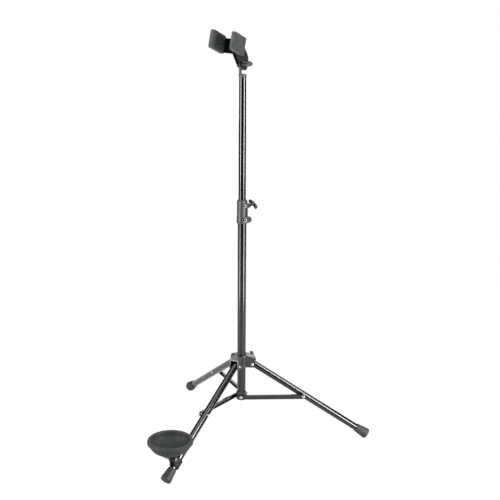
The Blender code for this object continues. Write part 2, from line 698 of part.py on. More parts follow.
def make_hub(mast):
    """Pressed hub: three folded arms that straddle the legs, and a lobe for the lock screw."""
    work = bmesh.new()
    loops = [[(x, y, HUB_BOTTOM) for x, y in hub_outline(0)]]
    for inset, depth in fold_levels(HUB_FOLD):
        loops.append([(x, y, arm_top(x, y) - depth) for x, y in hub_outline(inset)])
    add_loft(work, loops, (0, 0, HUB_PEAK))
    hub = finish_object("tripod_hub", work, "cast_coat", mast)

    along = Vector((math.cos(HUB_AZ), math.sin(HUB_AZ), 0))
    seat = frame_of((0, 0, HUB_SCREW_Z), along, (0, 0, 1))
    join(hub, finish_object("hub_lobe", make_lobe(seat), None, mast))

    slots = bmesh.new()
    ends = bmesh.new()
    low, high = HUB_BOTTOM - 0.004, HUB_PEAK
    ear_top = ROOF_TIP_Z + HUB_SHEET
    lean = (EAR_END - ROOF_END) / (ROOF_TIP_Z - PIVOT_Z - EAR_RISE)
    for name in LEG_AZ:
        plane = side_frame(name, 0, 0)
        roof = [(along, HUB_PEAK - HUB_FALL * along - HUB_SHEET)
                for along in (EAR_END + HUB_SHEET * 2, SLOT_INNER)]
        add_prism(slots, [(SLOT_INNER, low), (roof[0][0], low)] + roof, -EAR_IN, EAR_IN, plane)
        outline = [(EAR_END - EAR_CORNER, low)]
        outline += arc((EAR_END - EAR_CORNER, HUB_BOTTOM + EAR_CORNER), EAR_CORNER, -math.pi / 2, 0, 5)
        outline += [(EAR_END, PIVOT_Z + EAR_RISE), (ROOF_END, ROOF_TIP_Z),
                    (ROOF_END - lean * (high - ROOF_TIP_Z), high),
                    (EAR_END + HUB_SHEET * 2, high), (EAR_END + HUB_SHEET * 2, low)]
        add_prism(ends, outline, -EAR_OUT - 0.002, EAR_OUT + 0.002, plane)
    cut(hub, finish_object("hub_slots", slots, None, mast))
    cut(hub, finish_object("hub_ends", ends, None, mast))

    bore = bmesh.new()
    wide = LOWER_R + HUB_PLAY
    lip = HUB_PEAK - HUB_FALL * wide
    profile = [(0, low), (wide, low), (wide, lip - HUB_MOUTH), (wide + HUB_MOUTH + 0.003, lip + 0.003),
               (0, lip + 0.003)]
    add_turned(bore, profile, Matrix(), 36)
    cut(hub, finish_object("hub_bore", bore, None, mast))
    holes = bmesh.new()
    add_rod(holes, SCREW_R + CLEAR, LOWER_R / 2, LOBE_REACH + 0.003, seat)
    for name in LEG_AZ:
        add_rod(holes, LEG_RIVET_R + RIVET_PLAY, -EAR_OUT - 0.003, EAR_OUT + 0.003,
                side_frame(name, PIVOT_R, PIVOT_Z))
    cut(hub, finish_object("hub_holes", holes, None, mast))


def make_leg(name, mast):
    """One leg tube with its two cross holes, and its boot."""
    frame = leg_frame(name)
    pivot = frame.to_translation()
    inner = LEG_R - LEG_WALL
    end = LEG_LENGTH - BOOT_FLOOR - CLEAR
    work = bmesh.new()
    profile = [(inner, -LEG_TAIL), (LEG_R, -LEG_TAIL), (LEG_R, end), (inner, end)]
    add_turned(work, profile, frame)
    leg = finish_object(f"leg_{name}", work, "black_coat", mast, pivot)
    holes = bmesh.new()
    across = side_frame(name, PIVOT_R, PIVOT_Z)
    add_rod(holes, LEG_RIVET_R + RIVET_PLAY, -LEG_R - 0.003, LEG_R + 0.003, across)
    across = side_frame(name, STRUT_REACH, STRUT_PIN_Z)
    add_rod(holes, STRUT_RIVET_R + RIVET_PLAY, -LEG_R - 0.003, LEG_R + 0.003, across)
    cut(leg, finish_object(f"leg_holes_{name}", holes, None, mast))

    boot = bmesh.new()
    top = LEG_LENGTH - BOOT_LENGTH
    bore = LEG_R + CLEAR
    profile = [(0, LEG_LENGTH), (BOOT_END_R - BOOT_EDGE, LEG_LENGTH), (BOOT_END_R, LEG_LENGTH - BOOT_EDGE),
               (BOOT_END_R - 0.0002, LEG_LENGTH - BOOT_LENGTH * 0.2),
               (BOOT_TOP_R + 0.0006, top + BOOT_LENGTH * 0.25),
               (BOOT_TOP_R, top + 0.0008), (BOOT_TOP_R - 0.0006, top), (bore, top),
               (bore, LEG_LENGTH - BOOT_FLOOR), (0, LEG_LENGTH - BOOT_FLOOR)]
    add_turned(boot, profile, frame)
    item = finish_object(f"boot_{name}", boot, "rubber", mast, pivot)
    ground = bmesh.new()
    outward, sideways = leg_axes(name)
    level = frame_of(outward * FOOT_REACH, (0, 0, 1), outward)
    add_box(ground, (-0.03, -0.03, -0.03), (0.03, 0.03, 0), level)
    cut(item, finish_object(f"boot_ground_{name}", ground, None, mast))


def make_leg_rivet(name, mast):
    """Rivet across the hub's two ears."""
    seat = side_frame(name, PIVOT_R, PIVOT_Z)
    face = EAR_OUT + CLEAR
    profile = [(0, -face - RIVET_HEAD)]
    profile += [(RIVET_HEAD_R * math.cos(t), -face - RIVET_HEAD * math.sin(t)) for t in (1.05, 0.5)]
    profile += [(RIVET_HEAD_R, -face), (LEG_RIVET_R, -face), (LEG_RIVET_R, face)]
    profile += dome(RIVET_HEAD_R, face, RIVET_HEAD)[1:]
    work = bmesh.new()
    add_turned(work, profile, seat, SMALL_STEPS)
    finish_object(f"leg_rivet_{name}", work, "bright_steel", mast, seat.to_translation())


def make_strut_rivet(name, mast):
    """Shouldered rivet of leg and strut, parted where its collar leaves the channel.

    The head's half sits in the strut and the tail's half in the leg, with a running gap
    between them, so that each half stays with its own piece while the stand folds.
    """
    seat = side_frame(name, STRUT_REACH, STRUT_PIN_Z)
    face = STRUT_OUT + CLEAR
    web = STRUT_OUT - STRUT_SHEET - CLEAR
    profile = [(0, STRUT_IN), (SPACER_R, STRUT_IN), (SPACER_R, web), (STRUT_RIVET_R, web),
               (STRUT_RIVET_R, face)]
    profile += dome(RIVET_HEAD_R, face, RIVET_HEAD)[1:]
    work = bmesh.new()
    add_turned(work, profile, seat, SMALL_STEPS)
    finish_object(f"strut_rivet_{name}", work, "bright_steel", mast, seat.to_translation())

    back = LEG_R + CLEAR
    end = STRUT_IN - CLEAR
    profile = [(0, -back - RIVET_HEAD)]
    profile += [(RIVET_HEAD_R * math.cos(t), -back - RIVET_HEAD * math.sin(t)) for t in (1.05, 0.5)]
    profile += [(RIVET_HEAD_R, -back), (STRUT_RIVET_R, -back), (STRUT_RIVET_R, back), (SPACER_R, back),
                (SPACER_R, end), (0, end)]
    work = bmesh.new()
    add_turned(work, profile, seat, SMALL_STEPS)
    finish_object(f"rivet_tail_{name}", work, "bright_steel", mast, seat.to_translation())


def make_base_rivet(name, mast):
    """Rivet that carries one strut's inner end."""
    face = STRUT_OUT + CLEAR
    seat = side_frame(name, 0, BASE_PIVOT_Z)
    profile = [(0, FLAT_REACH / 2 + CLEAR), (STRUT_RIVET_R, FLAT_REACH / 2 + CLEAR), (STRUT_RIVET_R, face)]
    profile += dome(RIVET_HEAD_R, face, RIVET_HEAD)[1:]
    work = bmesh.new()
    add_turned(work, profile, seat, SMALL_STEPS)
    finish_object(f"base_rivet_{name}", work, "bright_steel", mast, seat.to_translation())


def capsule(length, radius, half, steps=8):
    """Outline with straight edges at +-half and round ends past both pivots."""
    turn = math.asin(min(1.0, half / radius))
    right = arc((length, 0), radius, -turn, turn, steps)
    left = arc((0, 0), radius, math.pi - turn, math.pi + turn, steps)
    return right + left


def make_strut(name, mast):
    """Pressed channel beside its leg, with its open side to the leg."""
    outward, sideways = leg_axes(name)
    run = outward * math.cos(STRUT_SLOPE) + Vector((0, 0, math.sin(STRUT_SLOPE)))
    pivot = Vector((0, 0, BASE_PIVOT_Z))
    frame = frame_of(pivot, sideways, run)
    work = bmesh.new()
    add_prism(work, capsule(STRUT_LENGTH, STRUT_END, STRUT_HALF), STRUT_IN, STRUT_OUT, frame)
    strut = finish_object(f"strut_{name}", work, "black_coat", mast, pivot)
    pocket = bmesh.new()
    outline = capsule(STRUT_LENGTH, STRUT_END - STRUT_SHEET, STRUT_HALF - STRUT_SHEET)
    add_prism(pocket, outline, STRUT_IN - 0.002, STRUT_OUT - STRUT_SHEET, frame)
    cut(strut, finish_object(f"strut_pocket_{name}", pocket, None, mast))
    holes = bmesh.new()
    for along in (0, STRUT_LENGTH):
        seat = frame @ Matrix.Translation((along, 0, 0))
        add_rod(holes, STRUT_RIVET_R + RIVET_PLAY, STRUT_IN - 0.003, STRUT_OUT + 0.003, seat)
    cut(strut, finish_object(f"strut_holes_{name}", holes, None, mast))


def saddle_points():
    """Saddle centre and tilt bolt, in the cup leg's plane, as vectors in mast coordinates."""
    frame = leg_frame("cup")
    middle = frame @ Vector((0, 0, SADDLE_FROM_PIVOT))
    bolt = frame @ Vector((BOLT_RISE, 0, SADDLE_FROM_PIVOT))
    return middle, bolt


def make_saddle(mast):
    """Slit sleeve on the cup leg with two cheeks that hold the cup's tongue."""
    frame = leg_frame("cup")
    middle, bolt = saddle_points()
    low, high = SADDLE_FROM_PIVOT - SADDLE_HALF, SADDLE_FROM_PIVOT + SADDLE_HALF
    work = bmesh.new()
    edge = 0.0012
    profile = [(0, low), (SADDLE_R - edge, low), (SADDLE_R, low + edge), (SADDLE_R, high - edge),
               (SADDLE_R - edge, high),
               (0, high)]
    add_turned(work, profile, frame, 32)
    saddle = finish_object("cup_saddle", work, "satin_plastic", mast, middle)
    outward, sideways = leg_axes("cup")
    plane = frame_of(middle, sideways, frame.to_3x3() @ Vector((1, 0, 0)))
    cheeks = bmesh.new()
    outline = hull(arc((BOLT_RISE, 0), CHEEK_R, 0, 2 * math.pi, 20)
                   + [(LEG_R, -SADDLE_HALF + edge), (LEG_R, SADDLE_HALF - edge)])
    add_prism(cheeks, outline, -CHEEK_OUT, CHEEK_OUT, plane)
    join(saddle, finish_object("saddle_cheeks", cheeks, None, mast, middle))
    flanks = bmesh.new()
    for sign in (-1, 1):
        flat = STRUT_IN - CLEAR
        near, far = sorted((sign * flat, sign * (SADDLE_R + 0.003)))
        add_box(flanks, (-SADDLE_R, -SADDLE_HALF - 0.003, near), (SADDLE_R, SADDLE_HALF + 0.003, far), plane)
    cut(saddle, finish_object("saddle_flanks", flanks, None, mast, middle))
    bore = bmesh.new()
    add_rod(bore, LEG_R + SADDLE_PLAY, low - 0.003, high + 0.003, frame, 32)
    cut(saddle, finish_object("saddle_bore", bore, None, mast, middle))
    slit = bmesh.new()
    reach = BOLT_RISE + CHEEK_R + 0.003
    add_box(slit, (LEG_R / 2, -SADDLE_HALF - 0.003, -CHEEK_IN), (reach, SADDLE_HALF + 0.003, CHEEK_IN), plane)
    cut(saddle, finish_object("saddle_slit", slit, None, mast, middle))
    hole = bmesh.new()
    seat = frame_of(bolt, sideways, outward)
    add_rod(hole, SCREW_R + CLEAR, -CHEEK_OUT - 0.003, CHEEK_OUT + 0.003, seat)
    cut(saddle, finish_object("saddle_hole", hole, None, mast, middle))


def make_cup_bracket(mast):
    """Tongue with a round flange that carries the cup."""
    outward, sideways = leg_axes("cup")
    middle, bolt = saddle_points()
    flange_top = CUP_BASE_Z - CLEAR
    flange_low = flange_top - FLANGE_THICK
    plane = frame_of(bolt, sideways, outward)
    up = 1 if (plane.to_3x3() @ Vector((0, 1, 0))).z > 0 else -1
    bolt_reach = bolt.dot(outward)
    shift = CUP_REACH - bolt_reach
    rise = flange_low + FLANGE_THICK / 2 - bolt.z
    work = bmesh.new()
    outline = hull(arc((0, 0), TONGUE_EYE_R, 0, 2 * math.pi, 20)
                   + [(shift - FLANGE_R * 0.55, up * rise), (shift + FLANGE_R * 0.55, up * rise)])
    add_prism(work, outline, -TONGUE_HALF, TONGUE_HALF, plane)
    tongue = finish_object("cup_bracket", work, "satin_plastic", mast, bolt)
    flange = bmesh.new()
    post = frame_of(outward * CUP_REACH, (0, 0, 1), outward)
    profile = [(0, flange_low), (FLANGE_R - 0.001, flange_low), (FLANGE_R, flange_low + 0.001),
               (FLANGE_R, flange_top),
               (0, flange_top)]
    add_turned(flange, profile, post)
    add_boss = bmesh.new()
    add_rod(add_boss, CUP_SCREW_HEAD_R, flange_top - CUP_SCREW_LENGTH, flange_low + FLANGE_THICK / 2, post)
    join(tongue, finish_object("cup_flange", flange, None, mast, bolt))
    join(tongue, finish_object("cup_screw_boss", add_boss, None, mast, bolt))
    holes = bmesh.new()
    add_rod(holes, SCREW_R + CLEAR, -TONGUE_HALF - 0.003, TONGUE_HALF + 0.003, plane)
    add_rod(holes, CUP_SCREW_R + CLEAR, flange_top - CUP_SCREW_LENGTH + 0.002, flange_top + 0.004, post)
    cut(tongue, finish_object("cup_bracket_holes", holes, None, mast, bolt))


def make_cup(mast):
    """Shallow bowl with a thick rolled rim."""
    outward, sideways = leg_axes("cup")
    middle, bolt = saddle_points()
    post = frame_of(outward * CUP_REACH, (0, 0, 1), outward)
    lip_low = CUP_RIM_Z - CUP_LIP
    roll = (CUP_R - CUP_MOUTH_R) / 2
    floor = CUP_BASE_Z + CUP_WALL
    outer_foot = CUP_R - CUP_WALL
    hole = CUP_SCREW_R + CLEAR
    profile = [(hole, CUP_BASE_Z), (CUP_BASE_R, CUP_BASE_Z)]
    for i in range(1, 8):
        t = math.pi / 2 * i / 8
        profile.append((CUP_BASE_R + (outer_foot - CUP_BASE_R) * math.sin(t),
                        CUP_BASE_Z + (lip_low - CUP_BASE_Z) * (1 - math.cos(t))))
    profile += [(outer_foot, lip_low), (CUP_R - 0.0012, lip_low), (CUP_R, lip_low + 0.0012)]
    profile += arc((CUP_R - roll, CUP_RIM_Z - roll), roll, 0, math.pi, 6)
    inner_top = CUP_RIM_Z - roll - 0.0012
    profile.append((CUP_MOUTH_R, inner_top))
    for i in range(7, 0, -1):
        t = math.pi / 2 * i / 8
        profile.append((CUP_BASE_R * 0.9 + (CUP_MOUTH_R - CUP_BASE_R * 0.9) * math.sin(t),
                        floor + (inner_top - floor) * (1 - math.cos(t))))
    sink = CUP_SCREW_HEAD_R + CLEAR
    ledge = floor - CUP_SCREW_HEAD - 2 * CLEAR
    profile += [(CUP_BASE_R * 0.9, floor), (sink, floor), (sink, ledge), (hole, ledge)]
    work = bmesh.new()
    add_turned(work, profile, post, 40)
    finish_object("cup", work, "cup_rubber", mast, bolt)
    screw = bmesh.new()
    head = ledge + CLEAR
    top = head + CUP_SCREW_HEAD
    tip = CUP_BASE_Z - CUP_SCREW_LENGTH + 0.0026
    profile = [(0, tip), (CUP_SCREW_R, tip), (CUP_SCREW_R, head), (CUP_SCREW_HEAD_R, head),
               (CUP_SCREW_HEAD_R, head + CUP_SCREW_HEAD / 2), (CUP_SCREW_HEAD_R * 0.7, top), (0, top)]
    add_turned(screw, profile, post, SMALL_STEPS)
    finish_object("cup_screw", screw, "bright_steel", mast, bolt)


def head_frame():
    """Matrix of the head's mid-plane at the tilt pivot: X forward, Y up, Z sideways."""
    forward, sideways = head_axes()
    pivot = sideways * HEAD_OFFSET + Vector((0, 0, TILT_Z))
    return Matrix.Translation(pivot) @ Matrix((forward, Vector((0, 0, 1)), sideways)).transposed().to_4x4()


def make_plug(mast):
    """Plug in the upper tube with an offset blade for the tilt joint."""
    work = bmesh.new()
    shank = UPPER_R - UPPER_WALL - CLEAR
    low = UPPER_TOP + CLEAR
    profile = [(0, UPPER_TOP - PLUG_SHANK), (shank, UPPER_TOP - PLUG_SHANK), (shank, low), (UPPER_R, low),
               (UPPER_R, PLUG_RIM_TOP - 0.001), (UPPER_R - 0.001, PLUG_RIM_TOP), (0, PLUG_RIM_TOP)]
    add_turned(work, profile, Matrix())
    plug = finish_object("head_plug", work, "satin_plastic", mast)
    frame = head_frame()
    blade = bmesh.new()
    foot = PLUG_RIM_TOP - 0.003 - TILT_Z
    waist = foot + 0.0105
    outline = [(-BLADE_FOOT_HALF, foot), (BLADE_FOOT_HALF, foot), (BLADE_FOOT_HALF, waist)]
    outline += arc((0, 0), BLADE_EYE_R, -math.pi / 3, math.pi + math.pi / 3, 16)
    outline += [(-BLADE_FOOT_HALF, waist)]
    add_prism(blade, outline, -BLADE_HALF, BLADE_HALF, frame)
    join(plug, finish_object("plug_blade", blade, None, mast))
    hole = bmesh.new()
    add_rod(hole, SCREW_R + CLEAR, -BLADE_HALF - 0.003, BLADE_HALF + 0.003, frame)
    cut(plug, finish_object("plug_hole", hole, None, mast))


def root_frame():
    """Matrix at the middle of the fork's root: X along the prongs, Y up the neck, Z sideways."""
    forward, sideways = head_axes()
    up = Vector((0, 0, 1))
    along = forward * math.cos(FORK_ANGLE) + up * math.sin(FORK_ANGLE)
    rise = up * math.cos(FORK_ANGLE) - forward * math.sin(FORK_ANGLE)
    root = forward * ROOT_M + sideways * HEAD_OFFSET + up * ROOT_Z
    return Matrix.Translation(root) @ Matrix((along, rise, sideways)).transposed().to_4x4()


def fork_frame():
    """The root's matrix, rolled about the prongs as the fork sits on the neck."""
    return root_frame() @ Matrix.Translation((0, 0, FORK_SHIFT)) @ Matrix.Rotation(FORK_ROLL, 4, "X")


def neck_outline(shrink, sweep):
    """Cheek outline in the head frame; sweep extends it forwards and down past its front edge."""
    to_neck = head_frame().inverted() @ root_frame()
    back = -YOKE_SHEET - CLEAR - (NECK_FLANGE if sweep else 0)

    def fork_point(along, rise):
        point = to_neck @ Vector((along, rise, 0))
        return (point.x, point.y)

    nose = arc((0, 0), NECK_NOSE_R - shrink, 0, 2 * math.pi, 24)
    tail = arc((NECK_TAIL_M, NECK_TAIL_RISE), NECK_TAIL_R - shrink, 0, 2 * math.pi, 32)
    roof = [fork_point(back, NECK_ROOF - shrink), fork_point(back - 0.034, NECK_ROOF - shrink)]
    foot = [fork_point(back, -NECK_ROOF - 0.0002)]
    points = nose + tail + roof + foot
    if sweep:
        away = (math.sin(NECK_ANGLE) * sweep, -math.cos(NECK_ANGLE) * sweep)
        points += [(x + away[0], y + away[1]) for x, y in tail + roof]
    return hull(points)


def make_neck(mast):
    """Folded channel, open in front, that carries the fork."""
    frame = head_frame()
    half = BLADE_HALF + NECK_PLAY + NECK_SHEET
    work = bmesh.new()
    add_prism(work, neck_outline(0, 0), -half, half, frame)
    pivot = frame.to_translation()
    neck = finish_object("neck_bracket", work, "black_coat", mast, pivot)
    pocket = bmesh.new()
    gap = BLADE_HALF + NECK_PLAY
    add_prism(pocket, neck_outline(NECK_SHEET, 0.05), -gap, gap, frame)
    root = root_frame()
    back = -YOKE_SHEET - CLEAR - NECK_FLANGE
    cut(neck, finish_object("neck_pocket", pocket, None, mast, pivot))
    trim = bmesh.new()
    add_box(trim, (-YOKE_SHEET - CLEAR, -0.06, -0.02), (0.05, 0.06, 0.02), root)
    cut(neck, finish_object("neck_trim", trim, None, mast, pivot))
    holes = bmesh.new()
    add_rod(holes, SCREW_R + CLEAR, -half - 0.003, half + 0.003, frame)
    for sign in (-1, 1):
        seat = root @ Matrix.Translation((0, sign * YOKE_RIVET_Q, 0)) @ Matrix.Rotation(math.pi / 2, 4, "Y")
        add_rod(holes, YOKE_RIVET_R + CLEAR, back - 0.001, -YOKE_SHEET + 0.003, seat)
    cut(neck, finish_object("neck_holes", holes, None, mast, pivot))


def make_yoke(mast):
    """U of the fork: a web and two prongs bent from one strip."""
    fork = fork_frame()
    pivot = head_frame().to_translation()
    outer = GAP_HALF + PRONG_INSET + YOKE_SHEET
    inner = outer - YOKE_SHEET
    bend = 0.0032
    plan = [(PRONG_LENGTH, -outer), (PRONG_LENGTH, -inner), (0, -inner), (0, inner), (PRONG_LENGTH, inner),
            (PRONG_LENGTH, outer)]
    plan += arc((bend - YOKE_SHEET, outer - bend), bend, math.pi / 2, math.pi, 4)
    plan += arc((bend - YOKE_SHEET, -outer + bend), bend, math.pi, math.pi * 1.5, 4)
    flat = fork @ Matrix.Rotation(-math.pi / 2, 4, "X")
    work = bmesh.new()
    add_prism(work, [(x, y) for x, y in plan], -YOKE_LOW, YOKE_TOP, flat)
    yoke = finish_object("fork_yoke", work, "black_coat", mast, pivot)
    holes = bmesh.new()
    root = root_frame()
    for sign in (-1, 1):
        seat = root @ Matrix.Translation((0, sign * YOKE_RIVET_Q, 0)) @ Matrix.Rotation(math.pi / 2, 4, "Y")
        add_rod(holes, YOKE_RIVET_R + CLEAR, -YOKE_SHEET - 0.003, 0.003, seat)
        side = fork @ Matrix.Translation((PAD_LENGTH - PAD_SCREW_P, PAD_SCREW_Q, 0))
        low, high = sorted((sign * (inner - 0.002), sign * (outer + 0.002)))
        add_rod(holes, PAD_SCREW_R + CLEAR, low, high, side)
    cut(yoke, finish_object("yoke_holes", holes, None, mast, pivot))
    for label, sign in (("upper", 1), ("lower", -1)):
        rivet = bmesh.new()
        seat = root @ Matrix.Translation((0, sign * YOKE_RIVET_Q, 0)) @ Matrix.Rotation(math.pi / 2, 4, "Y")
        low = -YOKE_SHEET - 2 * CLEAR - NECK_FLANGE
        profile = [(0, low - 0.001), (YOKE_RIVET_R * 1.3, low - 0.0008), (YOKE_RIVET_R * 1.7, low),
                   (YOKE_RIVET_R, low),
                   (YOKE_RIVET_R, CLEAR)]
        profile += dome(YOKE_RIVET_R * 1.8, CLEAR, 0.001)[1:]
        add_turned(rivet, profile, seat, 12)
        finish_object(f"yoke_rivet_{label}", rivet, "black_coat", mast, pivot)


def make_pad(name, sign, mast):
    """Soft cover of one prong: grip ribs inside, a framed panel outside."""
    fork = fork_frame()
    pivot = head_frame().to_translation()
    inner, outer = GAP_HALF, GAP_HALF + PAD_THICK
    work = bmesh.new()
    low, high = sorted((sign * inner, sign * outer))
    edge = 0.0022
    outline = [(CLEAR, -PAD_HALF), (PAD_LENGTH - edge, -PAD_HALF), (PAD_LENGTH, -PAD_HALF + edge),
               (PAD_LENGTH, PAD_HALF - edge), (PAD_LENGTH - edge, PAD_HALF), (CLEAR, PAD_HALF)]
    add_prism(work, outline, low, high, fork)
    sideways = fork.to_3x3() @ Vector((0, 0, 1))
    ends = [edge_ for edge_ in work.edges
            if all((fork.inverted() @ vert.co).x > PAD_LENGTH - edge * 1.5 for vert in edge_.verts)
            and abs((edge_.verts[0].co - edge_.verts[1].co).normalized().dot(sideways)) < 0.5]
    bmesh.ops.bevel(work, geom=ends, offset=0.0018, segments=2, profile=0.5, affect="EDGES")
    pad = finish_object(f"pad_{name}", work, "pad_rubber", mast, pivot)

    cavity = bmesh.new()
    near = GAP_HALF + PRONG_INSET - CLEAR
    far = GAP_HALF + PRONG_INSET + YOKE_SHEET + CLEAR
    low, high = sorted((sign * near, sign * far))
    add_box(cavity, (-0.004, -YOKE_LOW - CLEAR, low), (PRONG_LENGTH + CLEAR, YOKE_TOP + CLEAR, high), fork)
    cut(pad, finish_object(f"pad_cavity_{name}", cavity, None, mast, pivot))
    panel = bmesh.new()
    low, high = sorted((sign * (outer - PANEL_DEPTH), sign * (outer + 0.003)))
    add_box(panel, (-0.004, -PAD_HALF + LOW_BORDER, low),
            (PAD_LENGTH - FREE_BORDER, PAD_HALF + 0.003, high), fork)
    cut(pad, finish_object(f"pad_panel_{name}", panel, None, mast, pivot))
    grooves = bmesh.new()
    pitch = 2 * PAD_HALF / (GRIP_COUNT + 1)
    low, high = sorted((sign * (inner - 0.003), sign * (inner + GRIP_DEPTH)))
    for i in range(GRIP_COUNT):
        middle = -PAD_HALF + pitch * (i + 1)
        add_box(grooves, (-0.004, middle - pitch * 0.25, low),
                (PAD_LENGTH - GRIP_BAND, middle + pitch * 0.25, high),
                fork)
    cut(pad, finish_object(f"pad_grooves_{name}", grooves, None, mast, pivot))
    hole = bmesh.new()
    seat = fork @ Matrix.Translation((PAD_LENGTH - PAD_SCREW_P, PAD_SCREW_Q, 0))
    low, high = sorted((sign * (inner + 0.0014), sign * (outer + 0.003)))
    add_rod(hole, PAD_SCREW_R + CLEAR, low, high, seat)
    cut(pad, finish_object(f"pad_hole_{name}", hole, None, mast, pivot))


def make_pad_screw(name, sign, mast):
    """Screw sunk in one pad's outer face."""
    seat = fork_frame() @ Matrix.Translation((PAD_LENGTH - PAD_SCREW_P, PAD_SCREW_Q, 0))
    work = bmesh.new()
    low, high = sorted((sign * (GAP_HALF + 0.0017), sign * (GAP_HALF + PAD_THICK - PANEL_DEPTH - 0.0008)))
    add_rod(work, PAD_SCREW_R, low, high, seat, 12)
    finish_object(f"pad_screw_{name}", work, "black_coat", mast, head_frame().to_translation())


def make_knobs(mast):
    """Three T handles and the thumb screw of the tilt joint."""
    along, ears = screw_axes()
    up = Vector((0, 0, 1))
    seat, radius, front, back = boss_seat("upper")
    tip = -front - NUT_HEIGHT - NUT_STAND
    make_tee("height_knob", mast, seat, tip, back + CLEAR,
             ears * math.cos(HEIGHT_BAR_LEAN) - up * math.sin(HEIGHT_BAR_LEAN))

    outward = Vector((math.cos(HUB_AZ), math.sin(HUB_AZ), 0))
    across = Vector((-math.sin(HUB_AZ), math.cos(HUB_AZ), 0))
    seat = frame_of(up * HUB_SCREW_Z, outward, up)
    make_tee("hub_knob", mast, seat, LOWER_R + CLEAR, LOBE_REACH + CLEAR,
             up * math.cos(HUB_BAR_LEAN) + across * math.sin(HUB_BAR_LEAN))

    middle, bolt = saddle_points()
    leg_out, sideways = leg_axes("cup")
    seat = frame_of(bolt, sideways, leg_out)
    tip = -CHEEK_OUT - NUT_HEIGHT - NUT_STAND
    make_tee("cup_knob", mast, seat, tip, CHEEK_OUT + CLEAR,
             leg_out * math.cos(CUP_BAR_LEAN) + up * math.sin(CUP_BAR_LEAN))

    half = BLADE_HALF + NECK_PLAY + NECK_SHEET
    make_paddle("neck_knob", mast, head_frame(), -half - NUT_HEIGHT - NUT_STAND, half + CLEAR, up)


def make_lock_nuts(mast):
    """Nuts on the far ends of the cup bolt and the tilt screw."""
    middle, bolt = saddle_points()
    leg_out, sideways = leg_axes("cup")
    half = BLADE_HALF + NECK_PLAY + NECK_SHEET
    make_nut("cup_nut", mast, frame_of(bolt, sideways, leg_out), CHEEK_OUT)
    make_nut("neck_nut", mast, head_frame(), half)


def main():
    clear_scene()
    mast = bpy.data.objects.new("mast_axis", None)
    bpy.context.scene.collection.objects.link(mast)
    mast.location = (MAST_X, MAST_Y, 0)
    make_tubes(mast)
    make_bush(mast)
    make_fitting(mast)
    make_clamp(mast)
    make_clamp_hardware(mast)
    make_hub(mast)
    for name in LEG_AZ:
        make_leg(name, mast)
        make_leg_rivet(name, mast)
        make_strut(name, mast)
        make_strut_rivet(name, mast)
        make_base_rivet(name, mast)
    make_saddle(mast)
    make_cup_bracket(mast)
    make_cup(mast)
    make_plug(mast)
    make_neck(mast)
    make_yoke(mast)
    for name, sign in (("left", -1), ("right", 1)):
        make_pad(name, sign, mast)
        make_pad_screw(name, sign, mast)
    make_knobs(mast)
    make_lock_nuts(mast)


main()
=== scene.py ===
"""Looks of a folding bassoon stand: materials, smooth surfaces, floor, light and camera."""
import json
import math

import bmesh
import bpy
from mathutils import Matrix, Vector

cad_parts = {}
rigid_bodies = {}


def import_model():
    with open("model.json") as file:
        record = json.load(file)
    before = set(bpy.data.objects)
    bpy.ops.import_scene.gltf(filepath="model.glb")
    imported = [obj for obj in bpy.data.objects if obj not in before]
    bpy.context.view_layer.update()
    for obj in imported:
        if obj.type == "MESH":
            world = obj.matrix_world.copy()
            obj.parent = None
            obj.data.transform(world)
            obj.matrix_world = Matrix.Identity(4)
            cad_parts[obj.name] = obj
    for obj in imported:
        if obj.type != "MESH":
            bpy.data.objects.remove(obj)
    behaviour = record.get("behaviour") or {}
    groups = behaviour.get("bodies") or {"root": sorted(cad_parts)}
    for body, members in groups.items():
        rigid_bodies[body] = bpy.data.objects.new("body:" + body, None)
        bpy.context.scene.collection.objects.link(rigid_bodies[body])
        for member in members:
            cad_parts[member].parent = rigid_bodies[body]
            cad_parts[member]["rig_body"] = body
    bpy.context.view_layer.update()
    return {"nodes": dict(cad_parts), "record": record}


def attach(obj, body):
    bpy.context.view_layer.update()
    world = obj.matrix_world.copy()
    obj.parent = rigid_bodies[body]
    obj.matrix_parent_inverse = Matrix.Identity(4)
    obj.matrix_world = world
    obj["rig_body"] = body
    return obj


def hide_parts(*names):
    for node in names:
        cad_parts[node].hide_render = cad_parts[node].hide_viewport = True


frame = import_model()

# Camera, in millimetres about the mast's foot, before the turn that the stand has in the photograph
TURN = math.radians(2.690)
PITCH = math.radians(15.554)
ROLL = math.radians(0.362)
CAMERA_MM = (18.474, -2285.58, 1097.98)
MM_PER_METRE = 1000
FOCAL_PX = 1031.875
IMAGE_PX = 500
SENSOR = 36.0
CLIP_END = 20

# The mast's foot on the floor, in metres
MAST = (-0.0582, 0.0128)

# Smooth surfaces: points nearer than this are one, in metres, and steeper edges than this stay sharp
WELD = 0.000002
SHARP_ANGLE = math.radians(32)

# Nodes whose finish isn't their record slot's: the cup's clamp gets a darker, duller copy of its plastic,
# which is painted shade for the shadow the cup casts on it, and the neck and the fork look darker
FINISH_OF = {"cup_bracket": "shaded_plastic", "cup_saddle": "shaded_plastic",
             "neck_bracket": "neck_coat", "fork_yoke": "neck_coat"}

# Nearly all of Blender's noise lies between these values
NOISE_LOW = 0.3
NOISE_HIGH = 0.7

# Noise of the three kinds of material: features per metre, and the roughness's least and most share
COAT_MOTTLE = 60
COAT_SHEEN = 240
COAT_PEEL = 900
COAT_ROUGHNESS = (0.92, 1.1)
MOULDED_MOTTLE = 45
MOULDED_WEAR = 130
MOULDED_ROUGHNESS = (0.88, 1.15)
STEEL_MOTTLE = 300
STEEL_SHEEN = 700
STEEL_MARKS = 1600
STEEL_ROUGHNESS = (0.8, 1.3)
STEEL_DARKER = 0.85

